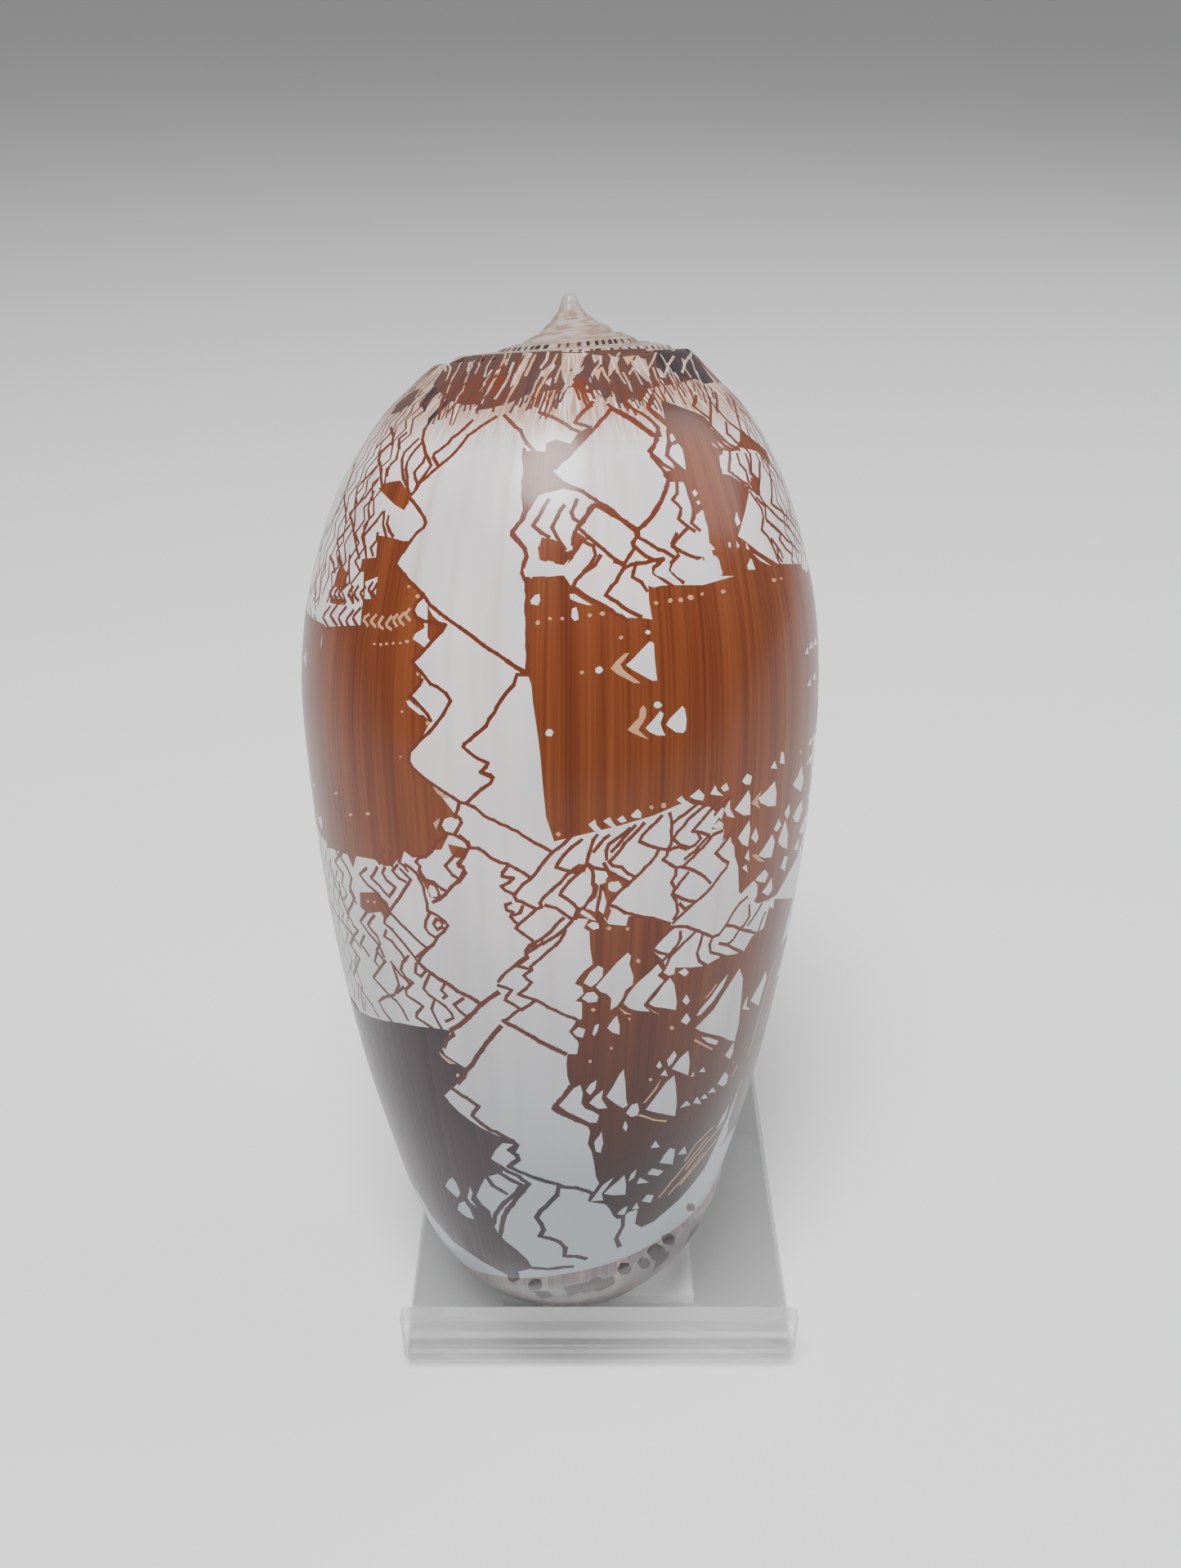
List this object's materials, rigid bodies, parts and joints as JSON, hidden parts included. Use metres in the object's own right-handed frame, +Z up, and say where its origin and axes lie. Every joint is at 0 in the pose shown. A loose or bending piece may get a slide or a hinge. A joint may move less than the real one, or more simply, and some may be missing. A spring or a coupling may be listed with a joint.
{
  "type": "tent olive shell",
  "caption": "Glossy barrel-shaped olive seashell with a low channelled spire and a long narrow aperture, leaning back on a small clear bent display stand.",
  "frame": {"origin": "centre of the bounding box, on the surface that the stand rests on", "axes": "+Z up, -Y towards the viewer on the side of the stand's front lip, +X to that viewer's right; the shell leans back towards +Y"},
  "size_m": [0.0424, 0.046, 0.0884],
  "materials": {
    "shell": "naturally glossy shell with brown tent markings on a pale ground",
    "clear_acrylic": "clear polished acrylic sheet"
  },
  "bodies": {
    "root": {"shell": "shell", "stand": "clear_acrylic"}
  },
  "joints": []
}
